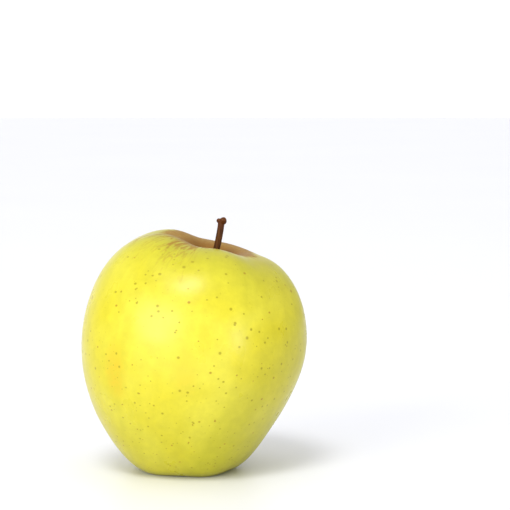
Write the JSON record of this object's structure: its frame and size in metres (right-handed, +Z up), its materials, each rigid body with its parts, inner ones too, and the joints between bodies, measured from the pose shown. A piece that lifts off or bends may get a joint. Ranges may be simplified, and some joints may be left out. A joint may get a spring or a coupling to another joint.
{
  "type": "whole yellow apple",
  "caption": "A whole yellow apple with its woody stem, tall on one side, that stands upright on the lobes round its foot.",
  "frame": {"origin": "middle of the bounding box, at the surface that the fruit stands on", "axes": "+Z up, front facing -Y, the tall shoulder on the -X side"},
  "size_m": [0.0774, 0.0766, 0.0871],
  "materials": {
    "skin": "waxy yellow fruit skin, satin",
    "stem_bark": "smooth red-brown bark",
    "dry_sepals": "dry and matt"
  },
  "bodies": {
    "root": {"fruit": "skin", "stem": "stem_bark", "calyx": "dry_sepals"}
  },
  "joints": []
}
